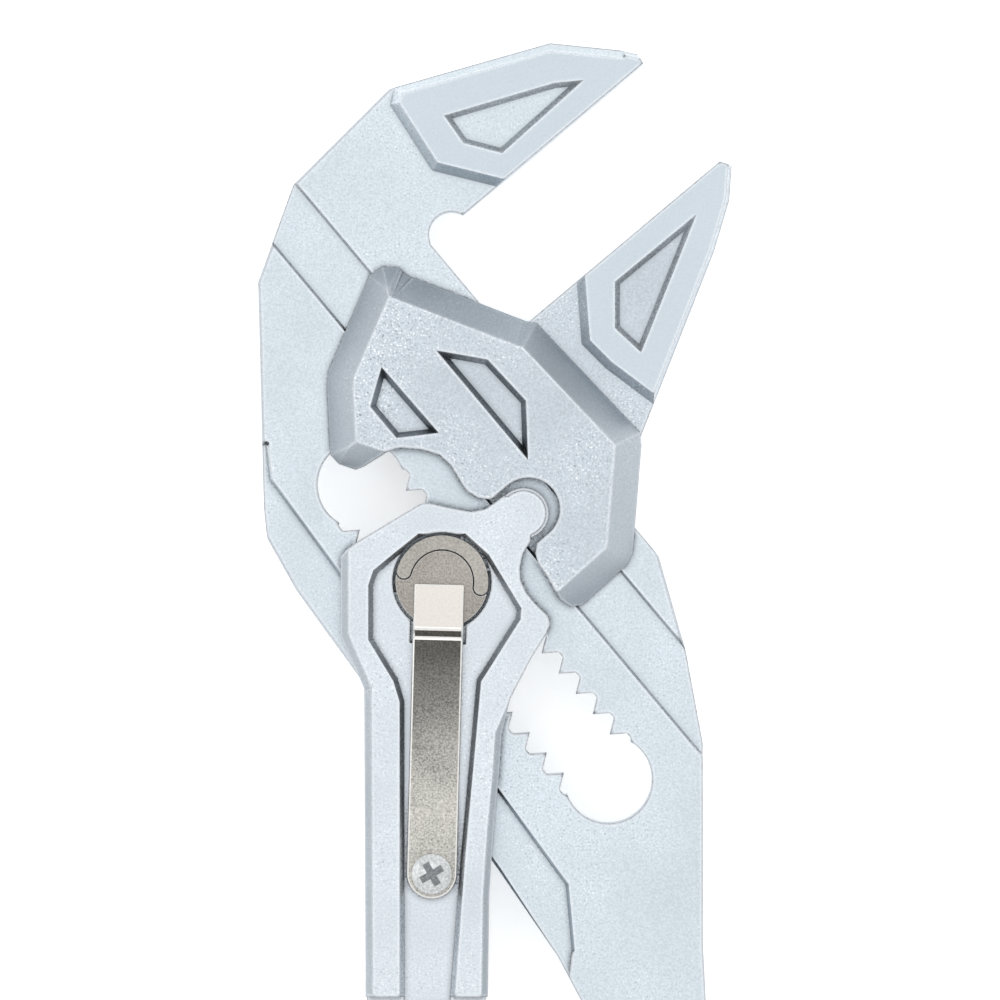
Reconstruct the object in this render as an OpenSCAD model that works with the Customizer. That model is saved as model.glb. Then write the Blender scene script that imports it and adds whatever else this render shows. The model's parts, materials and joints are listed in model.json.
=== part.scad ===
// Pliers wrench, 250 mm class, lying on its back with the pivot axis on Z.
// Plan points of the head are written in the slide frame: first number along the jaw faces
// towards their tips, second number along the slide towards the fixed jaw.
// Plan points of the handles are written in the tool frame: X to the right, Y towards the jaws.

/* [Slide] */
// Angle of the jaw faces to the X axis
slide_tilt = 40; // [30:0.5:50]
// Opening between the jaws as drawn
jaw_gap = 17.1; // [10:0.1:24]
// Distance from the pivot to the face of the sliding jaw
jaw_reach = 19.7; // [18:0.1:22]
// Distance from the pivot to the tips of the jaws
tip_reach = 67; // [62:0.5:75]

/* [Thickness] */
// Thickness of the main lever's plate
plate_t = 6; // [5:0.1:8]
// Running gap on each side of the plate
slide_gap = 0.1; // [0.05:0.01:0.2]
// Thickness of each cheek of the sliding jaw
cheek_t = 4.5; // [4:0.1:6]
// Thickness of each cheek of the front handle
fork_t = 4; // [3.4:0.1:4.4]
// Thickness of the jaws at their gripping pads
pad_t = 9; // [8:0.1:11]
// Thickness of the sliding jaw's blade beside its pad
blade_t = 6.6; // [6:0.1:7.5]

/* [Toothed slot] */
// Pitch of the teeth
tooth_pitch = 3.65; // [3:0.05:4]
// Clear width of the slot between tooth tips
slot_w = 8.3; // [8:0.05:9]
// Depth of the teeth
tooth_h = 1.9; // [1.4:0.05:2]
// Steps that the jaw can be closed by from the drawn setting
notches_in = 4; // [3:1:4]
// Steps that the jaw can be opened by from the drawn setting
notches_out = 9; // [6:1:9]

/* [Pivot and lock] */
// Diameter of the pivot's head in the front cheek
pivot_d = 12.7; // [12:0.1:13.4]
// Outer diameter of the sleeve in the slot and the rear cheek
sleeve_d = 8; // [7.4:0.05:8]
// Diameter of the push button stem
stem_d = 6; // [5:0.1:6.2]
// Radial running fit of the pivot parts
fit = 0.05; // [0.02:0.01:0.1]
// Axial travel of the lock bolt
press_travel = 2.2; // [2:0.1:2.4]
// Length of the bolt's toothed part
key_t = 2.1; // [2.1:0.1:2.3]
// Clearance of the bolt's teeth in the slot
mesh_gap = 0.12; // [0.08:0.01:0.2]
// Gap round the crescent on the pivot's face
parting_gap = 0.2; // [0.1:0.01:0.25]
// Radial width of the crescent on the pivot's face
crescent_w = 1.9; // [1.5:0.1:2.2]

/* [Handle lobe] */
// Distance from the pivot to the centre of the lobe
lobe_arm = 14.6; // [14:0.1:15]
// Radius of the lobe
lobe_r = 3.5; // [3.3:0.05:3.7]
// Clearance between the lobe and its socket
socket_gap = 0.8; // [0.5:0.05:0.9]

/* [Leaf spring] */
// Width of the leaf
leaf_w = 6.9; // [6:0.1:7.4]
// Thickness of the leaf
leaf_t = 0.8; // [0.6:0.05:1]
// Depth of the channel that holds the leaf
channel_d = 1.5; // [1.2:0.1:1.8]
// Diameter of the screw's head
screw_head_d = 5.5; // [5:0.1:6]
// Height of the screw's head
screw_head_h = 1.3; // [1:0.1:1.6]
// Diameter of the screw's shank
screw_d = 3; // [2.5:0.1:3.5]
// Length of the screw's shank below the leaf
screw_l = 2.4; // [1.5:0.1:2.4]

/* [Grips] */
// Distance from the pivot to the ends of the handles
handle_reach = 175; // [165:1:185]
// Width of a grip at its middle
grip_w = 18; // [16:0.5:19]
// Gap between a grip and the metal inside it
grip_fit = 0.05; // [0.02:0.01:0.1]

/* [Hidden] */
$fn = 64;
steel = [0.80, 0.83, 0.86];
nickel = [0.66, 0.63, 0.59];
grip_colour = [0.10, 0.11, 0.12];

z_mid = cheek_t + slide_gap + plate_t / 2;
z_cheek = plate_t / 2 + slide_gap;
fork_top = z_mid + z_cheek + fork_t;
fork_base = z_mid - z_cheek - fork_t;
fixed_face = jaw_reach + jaw_gap;
channel_floor = fork_top - channel_d;
bolt_seat = channel_floor + 0.8;
key_base = z_mid + z_cheek + slide_gap;
sleeve_top = key_base - press_travel - 0.3;
pivot_r = pivot_d / 2;
cut = 0.01;

function polar(r, a) = [r * cos(a), r * sin(a)];
function turn(p, a) = [p[0] * cos(a) - p[1] * sin(a), p[0] * sin(a) + p[1] * cos(a)];
function slide_point(p) = turn(p, -slide_tilt);
function cross2(a, b) = a[0] * b[1] - a[1] * b[0];
function unit(v) = v / norm(v);
function lerp(a, b, t) = a + (b - a) * t;

// Edge i of a counter-clockwise outline, moved inwards by d: a point on it and its direction
function moved_edge(p, i, d) =
    let (a = p[i], e = unit(p[(i + 1) % len(p)] - a))
    [a + d * [-e[1], e[0]], e];

// Corner where the moved edges i - 1 and i meet
function inset_corner(p, d, i) =
    let (n = len(p), h = (i + n - 1) % n,
         m = moved_edge(p, h, d[h]), q = moved_edge(p, i, d[i]),
         t = cross2(q[0] - m[0], q[1]) / cross2(m[1], q[1]))
    m[0] + t * m[1];

function inset(p, d) = [for (i = [0 : len(p) - 1]) inset_corner(p, d, i)];

// Stack of rings of equally many points, closed at both ends
module lofted(rings) {
    n = len(rings[0]);
    top = (len(rings) - 1) * n;
    sides = [for (r = [0 : len(rings) - 2]) for (i = [0 : n - 1])
        let (j = (i + 1) % n) [r * n + j, r * n + i, (r + 1) * n + i, (r + 1) * n + j]];
    polyhedron(
        [for (r = rings) each r],
        concat([[for (i = [0 : n - 1]) i]], sides, [[for (i = [n - 1 : -1 : 0]) top + i]]));
}

function ring(p, z) = [for (q = p) [q[0], q[1], z]];

// Turn of the outline at corner i, positive where the corner stands out
function corner_turn(p, i) =
    let (n = len(p), a = p[i] - p[(i + n - 1) % n], b = p[(i + 1) % n] - p[i])
    atan2(cross2(a, b), a * b);

// How far a bevel of width w runs on past corner i, where the next edge's bevel has width other
function run_on(p, i, w, other) =
    let (t = corner_turn(p, i))
    t < 0 ? (other > 0 ? w * tan(-t / 2) + 0.06 : 0) : (other > 0 ? 0.5 : 1.2) * w;

// Wedges that bevel the edges of outline p at height z1, d wide for each edge and h high
module edge_cuts(p, d, z1, h) {
    n = len(p);
    k = 0.2;
    for (i = [0 : n - 1]) if (d[i] > 0) {
        j = (i + 1) % n;
        w = d[i];
        v = p[j] - p[i];
        before = run_on(p, i, w, d[(i + n - 1) % n]);
        after = run_on(p, j, w, d[j]);
        translate([p[i][0], p[i][1], z1]) rotate(atan2(v[1], v[0])) translate([-before, 0, 0])
            rotate([90, 0, 90]) linear_extrude(norm(v) + before + after)
            polygon([[w * (1 + k), h * k], [-w * k, h * k], [-w * k, -h * (1 + k)]]);
    }
}

// The origin is on the bench, under the middle of the whole tool
pivot_at = [-15, 50.6];
module placed() { translate([pivot_at[0], pivot_at[1], 0]) children(); }

// Pocket with drafted walls: outline p at the surface top, drawn in by draft at the floor
module drafted_pocket(p, floor, top, draft) {
    over = 0.4;
    lofted([
        ring(inset(p, [for (q = p) draft]), floor),
        ring(inset(p, [for (q = p) -draft * over / (top - floor)]), top + over)]);
}

module to_rear() { translate([0, 0, z_mid]) mirror([0, 0, 1]) translate([0, 0, -z_mid]) children(); }

module both_faces() {
    children();
    to_rear() children();
}

module in_slide_frame() { rotate(slide_tilt) children(); }

// Section of a slot: straight to the tips of the teeth, with round toothless ends
slot_in = (notches_in + 0.5) * tooth_pitch + 7;
slot_out = (notches_out + 0.5) * tooth_pitch + 7;
valley_r = slot_w / 2 + tooth_h;

module tooth_row(from, to, grow) {
    for (n = [from : to])
        translate([0, n * tooth_pitch])
            polygon([for (side = [1, -1]) each [
                [side * (slot_w / 2 - 1 + grow), -side * tooth_pitch / 2],
                [side * (slot_w / 2 + grow), -side * tooth_pitch / 2],
                [side * (valley_r + grow), -side * tooth_pitch * 0.13],
                [side * (valley_r + grow), side * tooth_pitch * 0.13],
                [side * (slot_w / 2 + grow), side * tooth_pitch / 2],
                [side * (slot_w / 2 - 1 + grow), side * tooth_pitch / 2]]]);
}

module slot_outline() {
    translate([-slot_w / 2, -slot_out + valley_r])
        square([slot_w, slot_in + slot_out - 2 * valley_r]);
    tooth_row(-notches_out, notches_in, 0);
    translate([0, slot_in - valley_r]) circle(valley_r);
    translate([0, -slot_out + valley_r]) circle(valley_r);
}

// Main lever: fixed jaw, slotted plate and right-hand handle
guide_edge = 28.6;
track = [12.2, 19.6];
track_depth = 0.5;
margin_step = 1;
throat_r = 3.1;

lever_outline = [
    [tip_reach, fixed_face], [tip_reach + 0.3, fixed_face + 1.4], [tip_reach - 1.2, fixed_face + 3.4],
    [59, fixed_face + 10.4], [38, fixed_face + 19.8], [19.4, 55], [7, 47.8], [6, 46.5],
    [-12.4, 23.4], [-14.7, 20], [-16.2, 12], [-19.6, -35.3], [-21, -49.8],
    slide_point([22.5, -64]), slide_point([36.6, -64]), slide_point([35.9, -50]), [13.2, -40.1], [19.6, -28.8], [25.1, -16.5],
    [25.1, -11], [guide_edge, -4], [guide_edge, fixed_face]];

module lever_plan() {
    difference() {
        polygon(lever_outline);
        translate([guide_edge + throat_r, fixed_face - 1]) circle(throat_r);
        slot_outline();
    }
}

fixed_pad = [
    [tip_reach - 1.2, fixed_face + 3.4], [59, fixed_face + 10.4],
    lerp([59, fixed_face + 10.4], [38, fixed_face + 19.8], 0.97), [36.6, fixed_face + 18.2],
    [35.2, fixed_face + 7.4], [40.6, fixed_face],
    [tip_reach, fixed_face], [tip_reach + 0.3, fixed_face + 1.4]];
fixed_pocket = [[41.4, fixed_face + 12.1], [41, fixed_face + 7.5], [44.2, fixed_face + 3],
    [59.3, fixed_face + 3.5], [55.9, fixed_face + 5.8]];
pad_bevel = 1.3;
pad_pocket_d = 0.9;
pocket_draft = 0.7;
channel_draft = 0.6;
step_draft = 0.35;
pad_h = pad_t / 2;

// Loft of a handle: centre line in the tool frame, with a width and a thickness at each station
main_line = [[29.2, -56], [39.6, -86], [52, -124], [44, -handle_reach]];
front_line = [[-2.1, -56], [-5, -88], [-17, -124], [-13.5, -handle_reach]];

function bezier(p, t) =
    let (s = 1 - t)
    s * s * s * p[0] + 3 * s * s * t * p[1] + 3 * s * t * t * p[2] + t * t * t * p[3];
function bezier_dir(p, t) =
    let (s = 1 - t)
    unit(s * s * (p[1] - p[0]) + 2 * s * t * (p[2] - p[1]) + t * t * (p[3] - p[2]));

// Ring of n points of a rounded box section, w across the handle and h in thickness
function section(n, w, h) =
    [for (i = [0 : n - 1])
        let (a = 45 + 360 * i / n, c = cos(a), s = sin(a), k = n > 4 ? 0.6 : 1)
        [w / 2 * sign(c) * pow(abs(c) * (n > 4 ? 1 : sqrt(2)), k),
         h / 2 * sign(s) * pow(abs(s) * (n > 4 ? 1 : sqrt(2)), k)]];

// Ring of a section set across the handle's line at station t
function handle_ring(line, t, n, w, h) =
    let (c = bezier(line, t), e = bezier_dir(line, t))
    [for (q = section(n, w, h)) [c[0] - e[1] * q[0], c[1] + e[0] * q[0], z_mid + q[1]]];

tang_w = 10;
tang_t = 6;
tang_end = 0.96;
tang_steps = 10;
main_grip_start = 0.4;
front_grip_start = 0.24;
grip_steps = 16;
grip_t = 2 * z_mid;

module handle_bar(line, w0, t0, grip_start) {
    lofted([for (i = [0 : tang_steps])
        let (t = tang_end * i / tang_steps, k = min(1, t / grip_start))
        handle_ring(line, t, 4, lerp(w0, tang_w, k), lerp(t0, tang_t, k))]);
}

// Width and thickness of a grip along its length: a collar, a waist, a swell and a round end
function grip_scale(k) =
    k < 0.06 ? 0.94 + k : k > 0.9 ? sqrt(max(0.02, 1 - pow((k - 0.9) / 0.1, 2))) :
    0.92 + 0.08 * sin(180 * (k - 0.06) / 0.84);

module handle_grip(line, w0, t0, grip_start) {
    color(grip_colour) placed() difference() {
        lofted([for (i = [0 : grip_steps])
            let (k = i / grip_steps, g = grip_scale(k))
            handle_ring(line, lerp(grip_start, 1, k), 20, grip_w * g, grip_t * min(1, g + 0.08))]);
        lofted([for (i = [0 : tang_steps])
            let (t = (tang_end + 0.001) * i / tang_steps, k = min(1, t / grip_start))
            handle_ring(line, t, 4, lerp(w0, tang_w, k) + 2 * grip_fit,
                        lerp(t0, tang_t, k) + 2 * grip_fit)]);
    }
}

main_bar_w = 12;
front_bar_w = 16.6;

// Gripping pad of a jaw: proud of the plate on both faces, with a bevelled border and a pocket
module jaw_pad(p, d, h, pocket) {
    difference() {
        translate([0, 0, z_mid - pad_h]) linear_extrude(pad_t) polygon(p);
        both_faces() {
            edge_cuts(p, d, z_mid + pad_h, h);
            drafted_pocket(pocket, z_mid + pad_h - pad_pocket_d, z_mid + pad_h, pocket_draft);
        }
    }
}

fixed_pad_bevels = [1.1, 1.1, pad_bevel, pad_bevel, pad_bevel, 0, 0, 0.6];
margin_line = [[-60, 60], [-40, -70], [-19, -50.5], [-13.8, -43], [-9.2, 26], [-6.5, 30]];
margin_rim = [for (i = [len(margin_line) - 1 : -1 : 0]) margin_line[i]];
margin_drafts = [step_draft, step_draft, step_draft, 0, 0, step_draft];

module main_lever() {
    color(steel) placed() {
        in_slide_frame() {
            difference() {
                translate([0, 0, z_mid - plate_t / 2]) linear_extrude(plate_t) lever_plan();
                both_faces() {
                    translate([0, 60, z_mid + plate_t / 2]) rotate([90, 0, 0]) linear_extrude(120)
                        polygon([[track[0], -track_depth], [track[1], -track_depth],
                            [track[1] + 2 * step_draft, track_depth], [track[0] - 2 * step_draft, track_depth]]);
                    translate([0, 0, z_mid + plate_t / 2 - margin_step])
                        linear_extrude(plate_t) polygon(margin_line);
                    edge_cuts(margin_rim, margin_drafts, z_mid + plate_t / 2, 0.75 * margin_step);
                }
            }
            jaw_pad(fixed_pad, fixed_pad_bevels, (pad_t - plate_t) / 2 + 0.1, fixed_pocket);
        }
        handle_bar(main_line, main_bar_w, plate_t - 0.2, main_grip_start);
    }
}

module main_grip() { handle_grip(main_line, main_bar_w, plate_t - 0.2, main_grip_start); }

// Sliding jaw: two cheeks over the plate, joined by a bridge that carries the blade
cheek_bevel = 3.7;
socket_r = lobe_r + socket_gap;
socket_depth = 0.9;
bridge_gap = 0.2;
blade_root = guide_edge + bridge_gap;
cheek_left = [
    [21.6, 38.5], [19.4, 38.7], [17.9, 37.9], [11.7, 34.8], [6.6, 32.2], [5.1, 30.7], [-0.6, 23.2],
    [-0.5, 21.5], [0.7, 19.5]];
cheek_saddle = [
    [1.8, 19.1], [5.6, 18.6], [7.4, 17.8], [9.6, 15.6], [10.9, 13.6], [11.2, 11.4], [10.8, 9],
    [10.6, 7.4], [11.2, 5.6], [12.4, socket_r], [13.4, -socket_r], [12.3, -5.3], [11.7, -6.6], [11.5, -8.8],
    [10.8, -12.2], [11.3, -14]];
cheek_right = [
    [12.8, -14.9], [21, -14.6], [22.6, -13.9], [33.2, -3.2], [34, -1.8], [32.8, jaw_reach - 0.9],
    [31.8, jaw_reach + 0.5], [23.4, 35.4], [23.2, 36.9]];
cheek_outline = concat(cheek_left, cheek_saddle, cheek_right);
cheek_edges = concat([for (i = [2 : len(cheek_left)]) cheek_bevel], [for (p = cheek_saddle) 0], [0],
    [for (p = cheek_right) cheek_bevel]);
cheek_pockets = [
    [[12.6, 27.9], [7.9, 24.7], [7.9, 19.1], [12.8, 15.9]],
    [[19.8, 24.8], [19.8, 5.2], [24.8, 11.6], [24.4, 19.3]]];
cheek_pocket_d = 1.6;

module cheek() {
    base = z_mid + z_cheek;
    difference() {
        union() {
            translate([0, 0, base]) linear_extrude(cheek_t) polygon(cheek_outline);
            translate([track[0] + 0.2, -14, base - track_depth + 0.1])
                cube([track[1] - track[0] - 0.4, 14 + 34, track_depth]);
        }
        edge_cuts(cheek_outline, cheek_edges, base + cheek_t, cheek_t - 0.4);
        translate([lobe_arm + socket_depth, 0, 0]) cylinder(r = socket_r, h = 40);
        translate([5, -socket_r, 0]) cube([lobe_arm + socket_depth - 5, 2 * socket_r, 40]);
        for (p = cheek_pockets)
            drafted_pocket(p, base + cheek_t - cheek_pocket_d, base + cheek_t, pocket_draft);
    }
}

blade_outline = [
    [blade_root, jaw_reach + 1.5], [blade_root, -7.2], [33.8, -2.3], [57.8, 10.7], [64, 14.8],
    [tip_reach + 0.3, jaw_reach - 1.5], [tip_reach - 0.6, jaw_reach], [32.3, jaw_reach]];
blade_pad = [
    [36, 8], lerp([33.8, -2.3], [57.8, 10.7], 0.17), [57.8, 10.7], [64, 14.8], [tip_reach + 0.3, jaw_reach - 1.5],
    [tip_reach - 0.6, jaw_reach], [40.6, jaw_reach], [35.6, 12.7]];
blade_pocket = [[40.6, 11.4], [41.2, 6.5], [59.3, 16.2], [44.7, 16.3]];

module sliding_jaw() {
    color(steel) placed() in_slide_frame() {
        both_faces() cheek();
        translate([0, 0, z_mid - blade_t / 2]) linear_extrude(blade_t) polygon(blade_outline);
        jaw_pad(blade_pad, [pad_bevel, 0.5, 0.5, 0.5, 0, 0, pad_bevel, pad_bevel], (pad_t - blade_t) / 2 + 0.1,
            blade_pocket);
    }
}

// Front handle: a fork over the plate with a lobe on each cheek, and the left-hand handle
lobe = turn([lobe_arm, 0], slide_tilt);
fork_bevel = 1.1;
bore_gap = 0.45;
fork_right = [
    [6.3, -57], [6.5, -43], [7.1, -34], [7.8, -26.7], [8.2, -20.8], [9.4, -16], [12.1, -10.8], [14.3, -7.2],
    [14.9, -5.8], [14.5, -4.6], [13, -3.2], [11.6, -1.5], [10.8, 0.2], [10.7, 1.9], [11.1, 3.8], [12.2, 5.6]];
fork_top_edge = [
    [12, 9], [8.6, 11.9], [7.3, 10.9], [6, 10], [4, 9.6], [0.8, 10.2], [-1.7, 10.8], [-2.9, 10.7], [-11.1, 5.8],
    [-12.9, 4.6]];
fork_left = [[-13.9, 3.4], [-13.9, -7.4], [-10.7, -14.7], [-10.5, -57]];
fork_outline = concat(fork_right, fork_top_edge, fork_left);
fork_edges = concat([for (p = fork_right) 0], [for (p = fork_top_edge) 0],
    [for (i = [2 : len(fork_left)]) fork_bevel], [0]);
channel_outline = [
    [1.1, -58], [2.6, -38], [3.9, -24], [4.8, -13.5], [10.2, -5], [10.3, -3.8], [6, 3.3], [3, 6], [-3, 6],
    [-6, 3.6], [-8.9, 1.2], [-9.5, -0.6], [-9.5, -7.8], [-6.1, -13.4], [-5.2, -16.4], [-5.2, -58]];
channel_rim = [for (i = [len(channel_outline) - 1 : -1 : 0]) channel_outline[i]];
channel_drafts = concat([for (i = [2 : len(channel_rim)]) channel_draft], [0]);
web_line = [[-16, -14.5], [6.5, -64]];
screw_at = [-1.4, -40.1];
leaf_lean = 1.5;

module fork_cheek(bore_r) {
    base = z_mid + z_cheek;
    difference() {
        union() {
            difference() {
                translate([0, 0, base]) linear_extrude(fork_t) polygon(fork_outline);
                edge_cuts(fork_outline, fork_edges, fork_top, fork_bevel);
            }
            translate([lobe[0], lobe[1], base]) {
                cylinder(r = lobe_r, h = fork_t - 0.4);
                cylinder(r = lobe_r - 0.4, h = fork_t);
            }
        }
        translate([0, 0, z_mid]) cylinder(r = bore_r, h = 40);
    }
}

module front_handle() {
    color(steel) placed() difference() {
        union() {
            fork_cheek(pivot_r + bore_gap);
            to_rear() fork_cheek(sleeve_d / 2 + fit);
            translate([0, 0, z_mid - z_cheek - 1]) linear_extrude(2 * z_cheek + 2)
                intersection() {
                    polygon(inset(fork_outline, [for (p = fork_outline) 0.3]));
                    polygon([web_line[0], web_line[1], [-20, web_line[1][1]]]);
                }
            handle_bar(front_line, front_bar_w, fork_top - fork_base - 2, front_grip_start);
        }
        translate([0, 0, channel_floor]) linear_extrude(fork_t) polygon(channel_outline);
        edge_cuts(channel_rim, channel_drafts, fork_top, 0.75 * channel_d);
        translate([screw_at[0], screw_at[1], channel_floor - screw_l]) cylinder(d = screw_d, h = 40);
        translate([screw_at[0], screw_at[1], bolt_seat - press_travel - 0.5]) rotate(90 - leaf_lean)
            translate([leaf_span - leaf_end - joggle_l - 0.8, -leaf_w / 2 - 0.4, 0])
            cube([tab_l, leaf_w + 0.8, 20]);
    }
}

module front_grip() { handle_grip(front_line, front_bar_w, fork_top - fork_base - 2, front_grip_start); }

// Pivot sleeve: a tube through slot and rear cheek, with a leg that carries the crescent
crescent_arc = [-9, 165];
leg_arc = [98, 160];
crescent_top = bolt_seat;
crescent_in = pivot_r - crescent_w;

module arc_band(r0, r1, arc) {
    difference() {
        circle(r1);
        circle(r0);
        polygon(concat([[0, 0]], [for (i = [0 : 6])
            polar(4 * r1, arc[1] + (360 - arc[1] + arc[0]) * i / 6)]));
    }
}

module crescent(grow) {
    mid = (crescent_in + pivot_r) / 2;
    arc_band(crescent_in - grow, pivot_r + grow, crescent_arc);
    for (a = crescent_arc)
        intersection() {
            translate(polar(mid, a)) circle(crescent_w / 2 + grow);
            circle(pivot_r + grow);
        }
}

module pivot_sleeve() {
    color(nickel) placed() difference() {
        union() {
            translate([0, 0, fork_base + 0.1])
                cylinder(d = sleeve_d, h = sleeve_top - fork_base - 0.1);
            translate([0, 0, z_mid - z_cheek + slide_gap]) linear_extrude(sleeve_top - z_mid + plate_t / 2)
                arc_band(sleeve_d / 2 - 0.6, pivot_r, leg_arc);
            translate([0, 0, z_mid - z_cheek + slide_gap])
                linear_extrude(crescent_top - z_mid + plate_t / 2)
                arc_band(crescent_in, pivot_r, leg_arc);
            translate([0, 0, key_base]) linear_extrude(crescent_top - key_base) crescent(0);
        }
        cylinder(d = stem_d + 2 * fit, h = sleeve_top + cut);
    }
}

module lock_bolt() {
    color(nickel) placed() {
        translate([0, 0, fork_base + press_travel + 0.2])
            cylinder(d = stem_d, h = key_base - fork_base - press_travel - 0.2 + key_t);
        translate([0, 0, key_base]) linear_extrude(key_t) difference() {
            intersection() {
                circle(pivot_r);
                in_slide_frame() union() {
                    square([slot_w - 2 * mesh_gap, pivot_d], center = true);
                    tooth_row(-2, 2, -mesh_gap);
                }
            }
            crescent(parting_gap);
        }
        translate([0, 0, key_base + key_t]) linear_extrude(bolt_seat - key_base - key_t) difference() {
            circle(pivot_r);
            crescent(parting_gap);
        }
    }
}

// Leaf spring, held under the screw in the channel, with its bent tab on the bolt.
// It is drawn lifted by the bolt; with the bolt home the strip lies on the channel's floor.
tab_l = 6.2;
leaf_end = leaf_w / 2;
leaf_span = 33.6 + leaf_end;
joggle_l = 1.2;
leaf_seat = 0.02;
leaf_lift = asin(press_travel / (leaf_span + tab_l / 2));
screw_lift = (leaf_end + screw_head_d / 2) * tan(leaf_lift) + 0.06;

// Underside of the leaf seen from the side: distance from its far end, and height
leaf_side = [[0, leaf_seat], [leaf_span - joggle_l, leaf_seat + (leaf_span - joggle_l) * tan(leaf_lift)],
    [leaf_span, bolt_seat - channel_floor + leaf_seat],
    [leaf_span + tab_l, bolt_seat - channel_floor + leaf_seat]];

module leaf_spring() {
    color(nickel) placed() translate([screw_at[0], screw_at[1], channel_floor]) rotate(90 - leaf_lean)
        difference() {
            intersection() {
                translate([-leaf_end, leaf_w / 2, 0]) rotate([90, 0, 0]) linear_extrude(leaf_w)
                    polygon(concat(leaf_side, [for (i = [len(leaf_side) - 1 : -1 : 0])
                        leaf_side[i] + [0, leaf_t]]));
                linear_extrude(12) union() {
                    circle(d = leaf_w);
                    translate([0, -leaf_w / 2]) square([leaf_span + tab_l, leaf_w]);
                }
            }
            translate([0, 0, -cut]) cylinder(d = screw_d + 0.4, h = 6);
        }
}

// Pan-head screw with a cross recess
module spring_screw() {
    recess_l = 0.62 * screw_head_d;
    recess_w = 0.18 * screw_head_d;
    dome_h = 0.7 * screw_head_h;
    dome_r = (pow(screw_head_d / 2, 2) + pow(dome_h, 2)) / (2 * dome_h);
    color(steel) placed() translate([screw_at[0], screw_at[1], channel_floor + leaf_t + screw_lift]) difference() {
        union() {
            intersection() {
                cylinder(d = screw_head_d, h = screw_head_h);
                translate([0, 0, screw_head_h - dome_r]) sphere(dome_r, $fn = 96);
            }
            translate([0, 0, -leaf_t - screw_lift - screw_l])
                cylinder(d = screw_d - 0.04, h = leaf_t + screw_lift + screw_l + cut);
        }
        for (a = [30, 120]) rotate(a) translate([-recess_l / 2, -recess_w / 2, 0.4])
            cube([recess_l, recess_w, screw_head_h]);
    }
}

main_lever();
sliding_jaw();
front_handle();
pivot_sleeve();
lock_bolt();
leaf_spring();
spring_screw();
main_grip();
front_grip();
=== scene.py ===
# %% [markdown]
# # Dressing a pliers wrench
# The imported CAD model gives every solid its true place and size. This lesson gives the solids the finish
# of the real tool: satin plated forgings, a warm nickel pivot and leaf, a bright screw and dipped sleeves.
# The box of the solids is measured straight away, and the lights are aimed at its middle.

# %% Load the imported frame
import json
import math

import bmesh
import bpy
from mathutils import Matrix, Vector
from mathutils.bvhtree import BVHTree


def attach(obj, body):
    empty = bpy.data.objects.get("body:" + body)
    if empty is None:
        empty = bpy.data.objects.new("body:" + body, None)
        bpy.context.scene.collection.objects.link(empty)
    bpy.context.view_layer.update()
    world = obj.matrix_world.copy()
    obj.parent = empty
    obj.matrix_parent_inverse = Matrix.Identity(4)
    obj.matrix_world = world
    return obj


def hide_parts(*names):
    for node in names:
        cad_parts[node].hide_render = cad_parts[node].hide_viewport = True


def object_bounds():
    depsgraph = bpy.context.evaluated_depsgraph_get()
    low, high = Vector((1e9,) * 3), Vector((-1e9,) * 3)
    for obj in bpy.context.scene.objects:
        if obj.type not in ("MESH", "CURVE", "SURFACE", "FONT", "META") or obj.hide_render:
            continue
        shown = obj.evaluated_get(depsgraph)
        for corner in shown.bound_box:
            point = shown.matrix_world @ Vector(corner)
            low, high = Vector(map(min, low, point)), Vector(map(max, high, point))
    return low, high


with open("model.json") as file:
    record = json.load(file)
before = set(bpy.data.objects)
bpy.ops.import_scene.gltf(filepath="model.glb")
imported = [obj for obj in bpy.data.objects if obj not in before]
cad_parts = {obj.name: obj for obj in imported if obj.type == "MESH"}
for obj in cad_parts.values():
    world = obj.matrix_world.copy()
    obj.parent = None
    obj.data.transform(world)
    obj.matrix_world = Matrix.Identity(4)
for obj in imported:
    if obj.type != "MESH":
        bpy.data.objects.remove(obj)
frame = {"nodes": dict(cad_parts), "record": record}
cad_low, cad_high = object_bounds()
MM = 0.001
print("solids:", sorted(frame["nodes"]), "box mm:", [round(v / MM, 1) for v in cad_high - cad_low])

# %% [markdown]
# ## A small kit for node materials
# A procedural material is a chain of nodes that works the colour and the relief out from a point's place.
# Object coordinates are in metres here, so a noise of scale 1000 has a grain of about a millimetre.
# The helpers below only save typing: one adds a node with its settings, one adds a noise, and one maps
# a grey value to a colour ramp.

# %% Node helpers
def add_node(material, kind, inputs=None, **settings):
    """Adds a node with its settings and the values of its input sockets."""
    node = material.node_tree.nodes.new(kind)
    for name, value in settings.items():
        setattr(node, name, value)
    for name, value in (inputs or {}).items():
        node.inputs[name].default_value = value
    return node


def wire(material, source, socket, target, into):
    """Links an output socket of one node to an input socket of another."""
    material.node_tree.links.new(source.outputs[socket], target.inputs[into])


def grain(material, place, size, detail=2.0, roughness=0.5):
    """Noise with a grain of the given size in metres."""
    noise = add_node(material, "ShaderNodeTexNoise",
                     {"Scale": 1 / size, "Detail": detail, "Roughness": roughness})
    wire(material, place, "Object", noise, "Vector")
    return noise


def ramp(material, source, socket, stops):
    """Colour ramp with (position, colour) stops, fed by a grey value."""
    node = add_node(material, "ShaderNodeValToRGB")
    elements = node.color_ramp.elements
    while len(elements) < len(stops):
        elements.new(0.5)
    for element, (position, colour) in zip(elements, stops):
        element.position = position
        element.color = (*colour, 1)
    wire(material, source, socket, node, "Fac")
    return node


def new_material(name, **shader_values):
    """A material with one Principled shader, its constant sockets set, and Object coordinates to hand."""
    material = bpy.data.materials.new(name)
    material.use_nodes = True
    shader = material.node_tree.nodes["Principled BSDF"]
    for socket, value in shader_values.items():
        shader.inputs[socket.replace("_", " ")].default_value = value
    place = add_node(material, "ShaderNodeTexCoord")
    return material, shader, place


print("node helpers ready")
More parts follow.
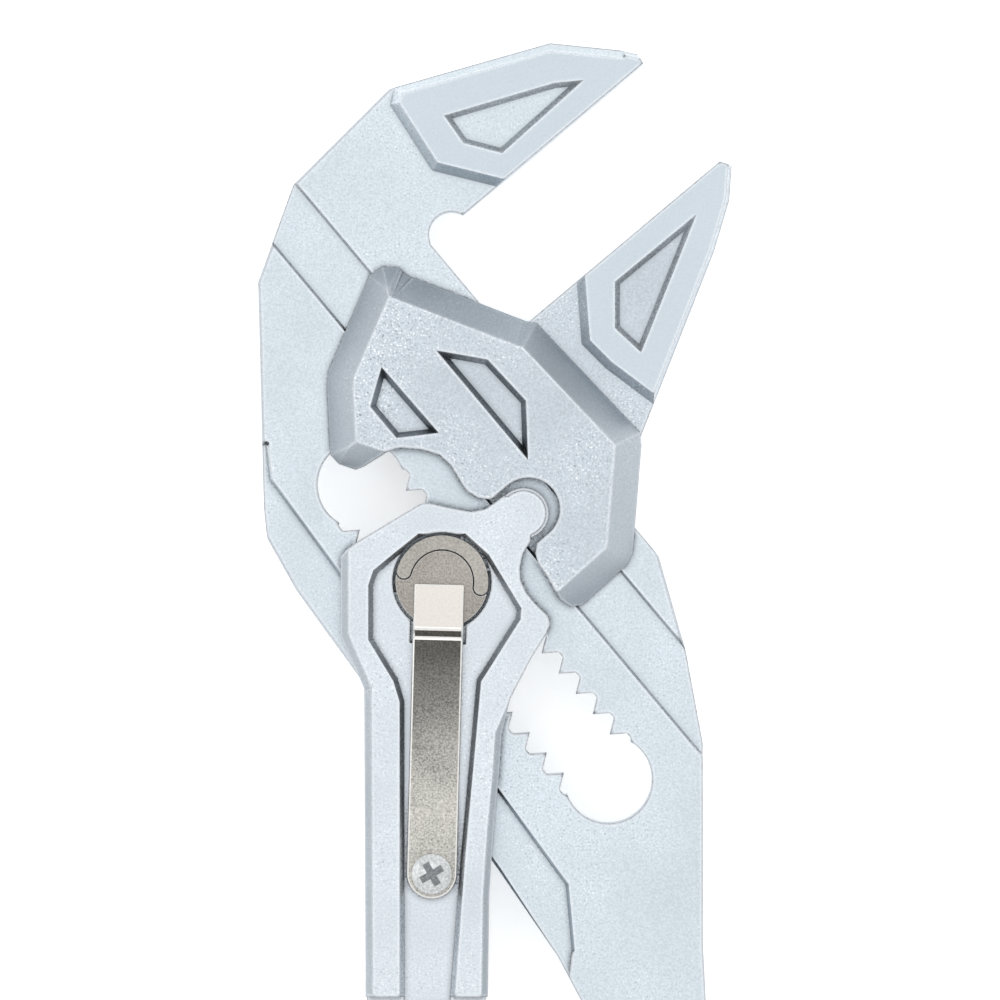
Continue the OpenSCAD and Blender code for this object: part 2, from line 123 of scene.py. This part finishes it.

# %% [markdown]
# ## Painted light and shade that follow the shape
# The forgings are shot-blasted and then plated, which leaves a pale blue-grey skin with a fine sparkle,
# partly in its relief and partly painted as bright flecks. Blunt edges get a painted highlight, square ones a
# painted dark line where the surface turns away from the light, and inner corners get painted shade. Such
# marks could be painted by hand, but a mask that is worked out from the shape fits every edge by itself. The
# Ambient Occlusion
# node gives one: traced outside it finds inner corners, and traced inside the solid it finds outer edges, the
# sharper the darker. A noise breaks each mask up, so that no line is drawn with a ruler.

# %% Painted highlights on edges and painted shade in corners
# painted shade: a near-black put into inner corners and along lines where pieces meet
CORNER_SHADE = (0.05, 0.055, 0.06)
# painted shade: the dark line along square edges, where the surface turns away from the light
OUTLINE = (0.12, 0.135, 0.15)
# painted glints: near-white flecks for the sparkle of the blasted skin; DARK_PIT is the blast's own pits
GLINT_FLECK = (0.95, 0.97, 0.99)
DARK_PIT = (0.16, 0.18, 0.20)
SHOT_MARK = 0.28 * MM
CORNER_REACH = 1.0 * MM
EDGE_REACH = 0.5 * MM
OUTLINE_REACH = 0.6 * MM
NOISE_LOW = 0.35  # most of a noise lies between these two greys
NOISE_HIGH = 0.65


def near_edge(material, inside, distance, low, high):
    """Grey mask from occlusion: 1 beside an outer edge (inside) or in an inner corner, 0 on open faces."""
    occlusion = add_node(material, "ShaderNodeAmbientOcclusion", {"Distance": distance},
                         samples=6, inside=inside, only_local=inside)
    mask = add_node(material, "ShaderNodeMapRange",
                    {"From Min": low, "From Max": high, "To Min": 1.0, "To Max": 0.0})
    wire(material, occlusion, "AO", mask, "Value")
    return mask


def speckled(material, mask, speckle, low, high):
    """Breaks a mask up with a noise."""
    spots = add_node(material, "ShaderNodeMapRange",
                     {"From Min": NOISE_LOW, "From Max": NOISE_HIGH, "To Min": low, "To Max": high})
    wire(material, speckle, "Fac", spots, "Value")
    broken = add_node(material, "ShaderNodeMath", operation="MULTIPLY", use_clamp=True)
    wire(material, mask, "Result", broken, 0)
    wire(material, spots, "Result", broken, 1)
    return broken


def blend(material, factor, colour_node, colour):
    """Mixes a colour node's colour towards a fixed colour."""
    mix = add_node(material, "ShaderNodeMixRGB", {"Color2": (*colour, 1)}, blend_type="MIX")
    material.node_tree.links.new(factor.outputs[0], mix.inputs["Fac"])
    wire(material, colour_node, "Color", mix, "Color1")
    return mix


def flecked(material, place, tone, zones, amount):
    """Sparse bright flecks, which are painted glints, and dark pits as wide as the blast's shot marks,
    thicker in some zones.
    """
    shot = grain(material, place, SHOT_MARK, detail=1.0)
    for edge, full, colour in ((0.60, 0.74, GLINT_FLECK), (0.38, 0.24, DARK_PIT)):
        spots = add_node(material, "ShaderNodeMapRange",
                         {"From Min": edge, "From Max": full, "To Min": 0.0, "To Max": amount})
        wire(material, shot, "Fac", spots, "Value")
        tone = blend(material, speckled(material, spots, zones, low=0.0, high=1.0), tone, colour)
    return tone


def edge_light_and_shade(material, tone, speckle, rim, grime):
    """Painted light from the shape: speckled painted shade in inner corners, painted highlights on blunt
    edges and painted dark lines on square ones.
    """
    # painted shade in inner corners and where pieces meet, found by occlusion traced outside
    corner = near_edge(material, False, CORNER_REACH, low=0.45, high=0.92)
    shaded_corner = speckled(material, corner, speckle, low=0.35 * grime, high=1.1 * grime)
    tone = blend(material, shaded_corner, tone, CORNER_SHADE)
    # painted highlight: a near-white line on blunt edges, found by occlusion traced inside
    edge = near_edge(material, True, EDGE_REACH, low=0.82, high=0.97)
    painted_highlight = speckled(material, edge, speckle, low=0.4, high=1.0)
    tone = blend(material, painted_highlight, tone, rim)
    # painted shade along square edges
    outline = near_edge(material, True, OUTLINE_REACH, low=0.56, high=0.80)
    turned_away = speckled(material, outline, speckle, low=0.4, high=1.0)
    return blend(material, turned_away, tone, OUTLINE)


print("edge helpers ready")

# %% [markdown]
# ## Plated steel
# With these helpers one function makes every metal of this tool, and only the numbers differ. A smaller one
# fills in what all the plated finishes share. Each forging has its own shade of the plate, its bevels get a
# darker copy of it as painted shade, and the pads behind the jaw faces are ground smooth. The drafted walls
# of pockets are rougher and mottled, and painted darker as shade, darkest in the cheeks. The Bevel shader
# node turns the normals near an edge, so that a knife edge catches light as a rounded one does.

# %% Plated steel
WIDE_GRAIN = 14 * MM
FINE_SHARE = 0.7
WIDE_SHARE = 0.3
EDGE_RADIUS = 0.12 * MM


def blasted_metal(name, colour, spread, roughness, grain_size, relief, rim=None, flecks=0.0, grime=1.0):
    """Metal with a blasted grain: colour varied by the spread, roughness as (low, high).
    With a rim colour, outer edges get it as a painted highlight, inner corners and square edges get painted
    shade, and edges look rounded."""
    material, shader, place = new_material(name, Metallic=1.0)
    fine = grain(material, place, grain_size, detail=3.0, roughness=0.65)
    wide = grain(material, place, WIDE_GRAIN, detail=2.0)
    soft = add_node(material, "ShaderNodeMath", operation="MULTIPLY")
    soft.inputs[1].default_value = WIDE_SHARE
    wire(material, wide, "Fac", soft, 0)
    mixed = add_node(material, "ShaderNodeMath", operation="MULTIPLY_ADD")
    mixed.inputs[1].default_value = FINE_SHARE
    wire(material, fine, "Fac", mixed, 0)
    wire(material, soft, "Value", mixed, 2)
    dark = tuple(c * (1 - spread) for c in colour)
    light = tuple(min(1, c * (1 + spread)) for c in colour)
    tone = ramp(material, mixed, "Value", [(0.36, dark), (0.5, colour), (0.64, light)])
    rough = add_node(material, "ShaderNodeMapRange",
                     {"From Min": 0.3, "From Max": 0.7, "To Min": roughness[0], "To Max": roughness[1]})
    wire(material, mixed, "Value", rough, "Value")
    wire(material, rough, "Result", shader, "Roughness")
    bump = add_node(material, "ShaderNodeBump", {"Strength": 1.0, "Distance": relief})
    wire(material, fine, "Fac", bump, "Height")
    wire(material, bump, "Normal", shader, "Normal")
    if flecks:
        tone = flecked(material, place, tone, wide, flecks)
    if rim:
        # painted highlights on blunt edges, painted shade in inner corners and along square edges
        tone = edge_light_and_shade(material, tone, fine, rim, grime)
        rounded = add_node(material, "ShaderNodeBevel", {"Radius": EDGE_RADIUS}, samples=4)
        wire(material, rounded, "Normal", bump, "Normal")
    wire(material, tone, "Color", shader, "Base Color")
    return material


print("metal function ready")

# %% Plated finishes
FINE = 0.30 * MM
# colour of the painted highlight on blunt edges
EDGE_HIGHLIGHT = (0.84, 0.88, 0.92)
SHOT = 0.012 * MM
GROUND = 0.003 * MM
SATIN = (0.26, 0.44)
SMOOTH = (0.24, 0.36)


def plated(name, colour, spread, roughness=SATIN, relief=SHOT, **shade_and_flecks):
    """A plated finish. All of them share one grain and the colour of the painted highlight on their edges."""
    return blasted_metal(name, colour, spread, roughness, FINE, relief, EDGE_HIGHLIGHT, **shade_and_flecks)


lever_plate = plated("lever_plate", (0.55, 0.61, 0.655), spread=0.16, flecks=0.6)
jaw_plate = plated("jaw_plate", (0.49, 0.54, 0.585), spread=0.18, flecks=0.9)
fork_plate = plated("fork_plate", (0.585, 0.63, 0.675), spread=0.16, flecks=0.6)
# painted shade: a darker copy of the plate for bevels, which lean away from the overhead light
bevel_shade = plated("bevel_shade", (0.41, 0.45, 0.49), spread=0.12, flecks=0.3)
ground_flat = plated("ground_flat", (0.49, 0.545, 0.59), spread=0.06, roughness=SMOOTH, relief=GROUND)
print("made", [m.name for m in (lever_plate, jaw_plate, fork_plate, bevel_shade, ground_flat)])

# %% Walls of pockets and channel
# painted shade: pocket and channel walls are darker than the plate, DEEP_WALL darkest, for the cheeks
WALL = (0.48, 0.51, 0.54)
DEEP_WALL = (0.30, 0.33, 0.36)
WALL_ROUGH = (0.35, 0.55)
pad_wall = plated("pad_wall", WALL, spread=0.40, roughness=WALL_ROUGH, grime=0.25)
cheek_wall = plated("cheek_wall", DEEP_WALL, spread=0.50, roughness=WALL_ROUGH)
channel_wall = plated("channel_wall", WALL, spread=0.40, roughness=WALL_ROUGH, grime=0.2)
print("made", [m.name for m in (pad_wall, cheek_wall, channel_wall)])

# %% [markdown]
# ## Warm nickel
# The pivot and the leaf are a browner nickel with a stronger sparkle, and their sheared edges are polished
# by use. The strip of the leaf is darker towards its bend, as painted shade for the darker reflection where
# it bows, so its colour is also multiplied by a factor that changes along the tool's length, and so is that
# of the channel's walls beside it. The tab that lies on the bolt is smooth, and painted bright as a highlight
# of its level face. The screw is bright zinc, and the floor of its recess is painted dark as shade.

# %% Pivot, leaf and screw metals
def shaded_along(material, start, end, low, high):
    """Multiplies a metal's colour by a factor from low at Y = start to high at Y = end."""
    shader = material.node_tree.nodes["Principled BSDF"]
    tone = shader.inputs["Base Color"].links[0].from_node
    place = add_node(material, "ShaderNodeTexCoord")
    split = add_node(material, "ShaderNodeSeparateXYZ")
    wire(material, place, "Object", split, "Vector")
    along = add_node(material, "ShaderNodeMapRange",
                     {"From Min": start, "From Max": end, "To Min": low, "To Max": high},
                     interpolation_type="SMOOTHSTEP")
    wire(material, split, "Y", along, "Value")
    scaled = add_node(material, "ShaderNodeVectorMath", operation="SCALE")
    wire(material, tone, "Color", scaled, 0)
    wire(material, along, "Result", scaled, "Scale")
    wire(material, scaled, "Vector", shader, "Base Color")


LEAF_BEND_Y = 43 * MM  # the strip's upper end, by the bend
LEAF_LIGHT_Y = 20 * MM  # from here down the strip is lightest
pin_nickel = blasted_metal("pin_nickel", (0.32, 0.30, 0.275), spread=0.45, roughness=(0.28, 0.44),
                           grain_size=0.28 * MM, relief=0.012 * MM)
crescent_nickel = blasted_metal("crescent_nickel", (0.36, 0.345, 0.32), spread=0.30, roughness=(0.28, 0.42),
                                grain_size=0.34 * MM, relief=0.008 * MM)
leaf_nickel = blasted_metal("leaf_nickel", (0.43, 0.42, 0.39), spread=0.55, roughness=(0.26, 0.40),
                            grain_size=0.26 * MM, relief=0.012 * MM)
# painted shade: the strip darkens towards its bend, for the darker reflection where it bows
shaded_along(leaf_nickel, LEAF_BEND_Y, LEAF_LIGHT_Y, low=0.22, high=0.98)
# painted shade on the channel's walls, darker by the bend
shaded_along(channel_wall, LEAF_BEND_Y, LEAF_LIGHT_Y, low=0.8, high=1.3)
# painted highlight: the tab's level face is painted brighter than the strip; its smoothness is real
tab_nickel = blasted_metal("tab_nickel", (0.63, 0.60, 0.56), spread=0.06, roughness=(0.24, 0.30),
                           grain_size=0.40 * MM, relief=0.001 * MM)
polished_rim = blasted_metal("polished_rim", (0.86, 0.85, 0.82), spread=0.08, roughness=(0.12, 0.22),
                             grain_size=0.5 * MM, relief=0.001 * MM)
bright_zinc = blasted_metal("bright_zinc", (0.70, 0.72, 0.73), spread=0.25, roughness=(0.16, 0.28),
                            grain_size=0.4 * MM, relief=0.003 * MM)
# painted shade: the floor of the screw's recess is painted dark where shade falls
recess_shade = blasted_metal("recess_shade", (0.22, 0.23, 0.24), spread=0.40, roughness=(0.30, 0.40),
                            grain_size=0.4 * MM, relief=0.003 * MM)
print("made", [m.name for m in (pin_nickel, crescent_nickel, leaf_nickel, tab_nickel, polished_rim)])
print("made", bright_zinc.name, recess_shade.name)

# %% [markdown]
# ## Dipped sleeve
# The sleeves are soft vinyl that the handles are dipped in. It is charcoal, a little shiny, with a faint
# orange-peel skin and a finer tooth on top.

# %% Dipped vinyl
PEEL = 2.2 * MM
TOOTH = 0.25 * MM


def dipped_vinyl(name, dark, light):
    """Soft vinyl: a wide peel that varies the colour from dark to light, and a fine tooth on top of it."""
    material, shader, place = new_material(name, Metallic=0.0, Specular_IOR_Level=0.4)
    peel = grain(material, place, PEEL, detail=2.0)
    tooth = grain(material, place, TOOTH, detail=3.0, roughness=0.6)
    colour = ramp(material, peel, "Fac", [(0.35, dark), (0.7, light)])
    wire(material, colour, "Color", shader, "Base Color")
    rough = add_node(material, "ShaderNodeMapRange",
                     {"From Min": 0.3, "From Max": 0.7, "To Min": 0.42, "To Max": 0.6})
    wire(material, tooth, "Fac", rough, "Value")
    wire(material, rough, "Result", shader, "Roughness")
    skin = add_node(material, "ShaderNodeBump", {"Strength": 0.7, "Distance": 0.08 * MM})
    wire(material, peel, "Fac", skin, "Height")
    bump = add_node(material, "ShaderNodeBump", {"Strength": 0.6, "Distance": 0.012 * MM})
    wire(material, tooth, "Fac", bump, "Height")
    wire(material, skin, "Normal", bump, "Normal")
    wire(material, bump, "Normal", shader, "Normal")
    return material


sleeve_vinyl = dipped_vinyl("sleeve_vinyl", (0.020, 0.021, 0.023), (0.034, 0.035, 0.038))
print("made", sleeve_vinyl.name)

# %% [markdown]
# ## Copies of the solids
# A CAD solid's mesh is loose triangles, and the frame keeps it as it is for the motion. So each solid is
# copied, its triangles are merged, and the copy stands for the solid. Most edges of the forgings stay exact,
# because a bevel on every edge would break their narrow drafted walls. Where a bevel is wanted, flat areas
# are first dissolved into single faces, so that it has clean faces to run along, and its new faces take the
# second material. Smooth shading is split at 20 degrees: flat faces stay flat while bores look round.

# %% Copy a solid and round its edges
BODY_OF = {node: body for body, nodes in frame["record"]["behaviour"]["bodies"].items() for node in nodes}
WELD = 0.001 * MM
FLAT_ANGLE = math.radians(0.5)
BEVEL_ANGLE = math.radians(28)
SHARP_ANGLE = math.radians(20)


def is_sharp(edge):
    """An edge whose two faces turn by more than the bevel angle."""
    return len(edge.link_faces) == 2 and edge.calc_face_angle() > BEVEL_ANGLE


def finished_mesh(bm, name):
    """Turns a bmesh into a mesh and drops the normals that the file stored for the unmerged triangles."""
    mesh = bpy.data.meshes.new(name)
    bm.to_mesh(mesh)
    bm.free()
    if mesh.has_custom_normals:
        mesh.attributes.remove(mesh.attributes["custom_normal"])
    return mesh


def merged_copy(node, width=0.0, segments=2, chosen=is_sharp):
    """A merged copy of a CAD solid's mesh. With a width its flat areas are dissolved and its chosen edges
    are rounded, by default all the sharp ones."""
    bm = bmesh.new()
    bm.from_mesh(frame["nodes"][node].data)
    bmesh.ops.remove_doubles(bm, verts=bm.verts, dist=WELD)
    for face in bm.faces:
        face.material_index = 0
    if width:
        bmesh.ops.dissolve_limit(bm, angle_limit=FLAT_ANGLE, verts=bm.verts, edges=bm.edges)
        made = bmesh.ops.bevel(bm, geom=[edge for edge in bm.edges if chosen(edge)], offset=width,
                               offset_type="OFFSET", affect="EDGES", segments=segments, profile=0.5,
                               material=-1, clamp_overlap=True, loop_slide=True)
        for face in made["faces"]:
            face.material_index = 1
        bmesh.ops.connect_verts_nonplanar(bm, angle_limit=FLAT_ANGLE, faces=bm.faces)
    return finished_mesh(bm, node + "_dressed")


def stand_in(node, mesh, materials, crisp_angle):
    """Stands a mesh in a solid's place, with its materials, and lets it ride on the solid's body."""
    piece = bpy.data.objects.new(node + "_dressed", mesh)
    bpy.context.scene.collection.objects.link(piece)
    for material in materials:
        mesh.materials.append(material)
    mesh.shade_smooth()
    mesh.set_sharp_from_angle(angle=crisp_angle)
    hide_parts(node)
    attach(piece, BODY_OF[node])
    print(piece.name, len(mesh.polygons), "faces")
    return piece


def dressed(node, *materials, **rounding):
    """A copy of a solid in its place, with a material for its faces and one for its rounded edges."""
    return stand_in(node, merged_copy(node, **rounding), materials, SHARP_ANGLE)


print("pieces ride on", sorted(set(BODY_OF.values())))

# %% [markdown]
# ## The three forgings
# A forging's faces get their finish, or their painted shade, by what they are. The ground pads lie at one
# level. A bevel leans between upright and flat and is painted darker as shade. A pocket's wall is steep and
# looks across at another face of the same piece, which a ray can test, and is painted darker as shade too.
# Two forgings also
# get real bevels: the fork's arm along its right side, from the waist down, and the lever's plate along clear
# stretches of the left and right sides of its outline.

# %% Finish or painted shade by what a face is
LEAST_DRAFT = 0.1  # these three compare with the height of a face's normal: 0 is upright, 1 is level
MOST_DRAFT = 0.62
FULLY_LEVEL = 0.99
RAY_START = 0.1 * MM
WIDEST_POCKET = 40 * MM
PAD_LEVEL = 12.1 * MM
PAD_TOLERANCE = 0.05 * MM


def paint_faces(piece, material, chosen):
    """Puts one more material on the faces for which chosen(polygon) is true."""
    piece.data.materials.append(material)
    slot = len(piece.data.materials) - 1
    count = 0
    for polygon in piece.data.polygons:
        if polygon.material_index == 0 and chosen(polygon):
            polygon.material_index = slot
            count += 1
    print(piece.name, count, "faces of", material.name)


def pocket_walls(piece):
    """A test for steep drafted faces that look across a pocket at another face of the same piece."""
    places = [vertex.co for vertex in piece.data.vertices]
    tree = BVHTree.FromPolygons(places, [polygon.vertices for polygon in piece.data.polygons])

    def test(polygon):
        if not LEAST_DRAFT < abs(polygon.normal.z) < MOST_DRAFT:
            return False
        across = Vector((polygon.normal.x, polygon.normal.y, 0)).normalized()
        return tree.ray_cast(polygon.center + across * RAY_START, across, WIDEST_POCKET)[0] is not None

    return test


def on_pad(polygon):
    """A face of the ground pads."""
    return polygon.normal.z > FULLY_LEVEL and abs(polygon.center.z - PAD_LEVEL) < PAD_TOLERANCE


print("face tests ready, pads at mm", round(PAD_LEVEL / MM, 1))

# %% Bevels and the edges that get one
UPRIGHT = 0.05  # these three compare with the height of a normal, too
STEEPEST_BEVEL = 0.3
LEVEL = 0.95
FORK_TOP = 14.7 * MM
FORK_TOLERANCE = 0.01 * MM
FORK_SIDE_X = -9 * MM
FORK_WAIST_Y = 33 * MM
PLATE_LOW = 9 * MM
SLOT_X = -39 * MM
LONGEST_TOOTH = 5 * MM
# Each stretch of the outline is given by a box round it, as low X, low Y, high X and high Y in millimetres.
CLEAR_STRETCHES = ((-41, 75, -39, 98), (-30, 110, -27, 114), (-38, 4, -3, 54), (16, 47, 17, 49))


def mean_place(verts):
    """The mean of the places of some vertices."""
    return sum((vert.co for vert in verts), Vector()) / len(verts)


def on_bevel(polygon):
    """A face of one of the solid's own bevels, which lie above the pads."""
    return polygon.center.z > PAD_LEVEL and STEEPEST_BEVEL < polygon.normal.z < LEVEL


def on_fork_side(edge):
    """The upper right edge of the fork's arm, from its waist down to its end."""
    place = mean_place(edge.verts)
    on_top = min(vert.co.z for vert in edge.verts) > FORK_TOP - FORK_TOLERANCE
    return on_top and is_sharp(edge) and place.x > FORK_SIDE_X and place.y < FORK_WAIST_Y


def on_clear_stretch(place):
    """A place on one of the stretches of the lever's outline that run clear of its steps."""
    x, y = place.x / MM, place.y / MM
    return any(low_x < x < high_x and low_y < y < high_y for low_x, low_y, high_x, high_y in CLEAR_STRETCHES)


def on_lever_outline(edge):
    """An upper edge of the lever's outline on a clear stretch that isn't one of the slot's teeth."""
    place = mean_place(edge.verts)
    if not (is_sharp(edge) and edge.is_convex and place.z > PLATE_LOW):
        return False
    side, top = sorted((face.normal for face in edge.link_faces), key=lambda normal: abs(normal.z))
    is_tooth = edge.calc_length() < LONGEST_TOOTH and place.x > SLOT_X
    return on_clear_stretch(place) and not is_tooth and top.z > LEVEL and abs(side.z) < UPRIGHT


print("edge tests ready,", len(CLEAR_STRETCHES), "clear stretches on the lever")

# %% Main lever, sliding jaw and front handle
CHEEK_Y = 80 * MM
lever = dressed("main_lever", lever_plate, bevel_shade, width=0.45 * MM, segments=1,
                chosen=on_lever_outline)
paint_faces(lever, pad_wall, pocket_walls(lever))
paint_faces(lever, ground_flat, on_pad)
jaw = dressed("sliding_jaw", jaw_plate)
in_pocket = pocket_walls(jaw)
paint_faces(jaw, pad_wall, lambda polygon: polygon.center.y > CHEEK_Y and in_pocket(polygon))
paint_faces(jaw, cheek_wall, in_pocket)
paint_faces(jaw, ground_flat, on_pad)
# the bevels get the painted shade
paint_faces(jaw, bevel_shade, on_bevel)
fork = dressed("front_handle", fork_plate, bevel_shade, width=0.9 * MM, segments=1,
               chosen=on_fork_side)
paint_faces(fork, channel_wall, pocket_walls(fork))
paint_faces(fork, bevel_shade, on_bevel)

# %% [markdown]
# ## Pivot, leaf and screw
# These small pieces are turned or stamped, and all their sharp edges are rounded, because on them the light
# along an edge is most of what shows. The leaf's tab and the floor of the screw's recess are picked out by
# their place.

# %% Small pieces with rounded edges
TAB_Y = 44 * MM
TAB_FACING = 0.5  # the height of a normal again, as is the next
FLOOR_FACING = 0.97
LEAST_RECESS = 0.5 * MM
MOST_RECESS = 0.95 * MM
dressed("pivot_sleeve", crescent_nickel, polished_rim, width=0.10 * MM)
dressed("lock_bolt", pin_nickel, polished_rim, width=0.08 * MM)
leaf = dressed("leaf_spring", leaf_nickel, polished_rim, width=0.28 * MM)
screw = dressed("spring_screw", bright_zinc, polished_rim, width=0.10 * MM)
head_top = max(vertex.co.z for vertex in screw.data.vertices)


def on_tab(polygon):
    """An upper face of the leaf beyond its bend."""
    return polygon.center.y > TAB_Y and polygon.normal.z > TAB_FACING


def on_recess_floor(polygon):
    """A level face of the screw, as far below the top of its head as the floor of the recess."""
    return LEAST_RECESS < head_top - polygon.center.z < MOST_RECESS and polygon.normal.z > FLOOR_FACING


# the tab gets the painted highlight
paint_faces(leaf, tab_nickel, on_tab)
# the recess floor gets the painted shade
paint_faces(screw, recess_shade, on_recess_floor)

# %% [markdown]
# ## Sleeves
# Dipped sleeves have no hard edges, because the vinyl runs while it is wet. The CAD sleeves are lofts with
# flat facets and a blunt end. Their triangles are merged and joined into four-sided faces. The last row of
# faces is then cut into rings, and the rings are set on a quarter of an ellipse, which makes the end a dome.
# The rim where the end starts is found by asking for convex edges near the tip, so that the hollow for the
# handle bar stays as it is. Smooth shading makes a skin of it, and edges over 50 degrees, such as the
# mouth's, stay crisp.

# %% Smooth the dipped sleeves
END_RINGS = 6
TIP_FACE = 4 * MM
END_REACH = 14 * MM
SLEEVE_WELD = 0.01 * MM
JOIN_ANGLE = math.radians(40)
JOIN_SHAPE = math.radians(60)
MOUTH_ANGLE = math.radians(50)


def blunt_rim(bm):
    """The vertices of the convex edge round the sleeve's closed end, clear of the small face at its tip."""
    tip = min(bm.verts, key=lambda vert: vert.co.y).co.copy()
    rim = set()
    for edge in bm.edges:
        reach = (mean_place(edge.verts) - tip).length
        if is_sharp(edge) and edge.is_convex and TIP_FACE < reach < END_REACH:
            rim.update(edge.verts)
    return rim


def dome_end(bm):
    """Cuts the sleeve's blunt end into rings and sets them on a quarter of an ellipse."""
    rim = blunt_rim(bm)
    base = mean_place(rim)
    lengthwise = []
    cap = set()
    for edge in bm.edges:
        beyond = [vert for vert in edge.verts if vert not in rim and vert.co.y < base.y]
        if len(beyond) == 1 and edge.other_vert(beyond[0]) in rim:
            lengthwise.append(edge)
            cap.update(beyond)
    axis = mean_place(cap) - base
    cap_width = sum((vert.co - base - axis).length for vert in cap) / len(cap)
    rim_width = sum((vert.co - base).length for vert in rim) / len(rim)
    taper = cap_width / rim_width
    last_angle = math.acos(taper)
    cut = bmesh.ops.subdivide_edges(bm, edges=lengthwise, cuts=END_RINGS, use_grid_fill=True)
    for vert in cut["geom_inner"]:
        if isinstance(vert, bmesh.types.BMVert):
            share = (vert.co - base).dot(axis) / axis.length_squared
            spoke = (vert.co - base - axis * share) / (1 - share * (1 - taper))
            angle = share * last_angle
            vert.co = base + axis * (math.sin(angle) / math.sin(last_angle)) + spoke * math.cos(angle)


def smooth_sleeve(node):
    """Stands a merged, domed and smooth copy of a sleeve in its place."""
    bm = bmesh.new()
    bm.from_mesh(frame["nodes"][node].data)
    bmesh.ops.remove_doubles(bm, verts=bm.verts, dist=SLEEVE_WELD)
    bmesh.ops.join_triangles(bm, faces=bm.faces, angle_face_threshold=JOIN_ANGLE,
                             angle_shape_threshold=JOIN_SHAPE)
    dome_end(bm)
    stand_in(node, finished_mesh(bm, node + "_dressed"), [sleeve_vinyl], MOUTH_ANGLE)


for sleeve in ("main_grip", "front_grip"):
    smooth_sleeve(sleeve)

# %% [markdown]
# ## Floor, light and camera
# The tool lies flat on pale paper and the camera looks straight down on it, as in the photograph. The paper
# glows a little, as a lit table does, so that the slot and the gaps stay white. The light is mostly an even
# white surround, as in a light tent. One large soft light hangs overhead, because flat satin metal shows
# what is straight above it. A weaker one stands to the left, so that bevels facing different ways differ.
# The camera's lens follows from the real size of one pixel, and the pivot is set on its pixel.

# %% Studio floor
FLOOR_SIZE = 6.0
PAPER = (0.96, 0.96, 0.96, 1)
PAPER_GLOW = 0.46
WHITE = (1, 1, 1, 1)
floor_bm = bmesh.new()
bmesh.ops.create_grid(floor_bm, x_segments=1, y_segments=1, size=FLOOR_SIZE / 2)
floor_mesh = bpy.data.meshes.new("floor")
floor_bm.to_mesh(floor_mesh)
floor_bm.free()
floor = bpy.data.objects.new("floor", floor_mesh)
bpy.context.scene.collection.objects.link(floor)
pale_paper = new_material("pale_paper", Base_Color=PAPER, Roughness=0.9, Emission_Color=WHITE,
                          Emission_Strength=PAPER_GLOW)[0]
floor_mesh.materials.append(pale_paper)
print("floor", FLOOR_SIZE, "m")

# %% Soft lights
SURROUND = 0.95


def soft_light(name, place, target, size, power):
    """A square area light at a place, aimed at a target."""
    light = bpy.data.lights.new(name, "AREA")
    light.shape = "SQUARE"
    light.size = size
    light.energy = power
    lamp = bpy.data.objects.new(name, light)
    bpy.context.scene.collection.objects.link(lamp)
    lamp.location = place
    lamp.rotation_euler = (target - Vector(place)).to_track_quat("-Z", "Y").to_euler()


centre = (cad_low + cad_high) / 2
soft_light("overhead", (-0.10, 0.15, 1.5), centre, size=1.2, power=2.0)
soft_light("left side", (-1.3, 0.3, 0.7), centre, size=0.8, power=0.6)
world = bpy.data.worlds.new("studio")
bpy.context.scene.world = world
world.use_nodes = True
background = world.node_tree.nodes["Background"]
background.inputs["Color"].default_value = WHITE
background.inputs["Strength"].default_value = SURROUND
bpy.context.scene.view_settings.view_transform = "Standard"

# %% Camera straight above
PIXEL = 0.1375 * MM
FRAME_PIXELS = 1000
PIVOT_PIXEL = (442, 581.5)
CAMERA_HEIGHT = 1.2
FACE_LEVEL = 12 * MM
FAR_CLIP = 20
camera_data = bpy.data.cameras.new("camera")
camera_data.lens = camera_data.sensor_width * CAMERA_HEIGHT / (FRAME_PIXELS * PIXEL)
camera = bpy.data.objects.new("camera", camera_data)
bpy.context.scene.collection.objects.link(camera)
joints = {joint["name"]: joint for joint in frame["record"]["behaviour"]["joints"]}
pivot = Vector(joints["handle_pivot"]["pos_m"])
camera.location = (pivot.x + (FRAME_PIXELS / 2 - PIVOT_PIXEL[0]) * PIXEL,
                   pivot.y + (PIVOT_PIXEL[1] - FRAME_PIXELS / 2) * PIXEL, CAMERA_HEIGHT + FACE_LEVEL)
camera_data.clip_end = FAR_CLIP
bpy.context.scene.camera = camera
print("lens", round(camera_data.lens), "mm")
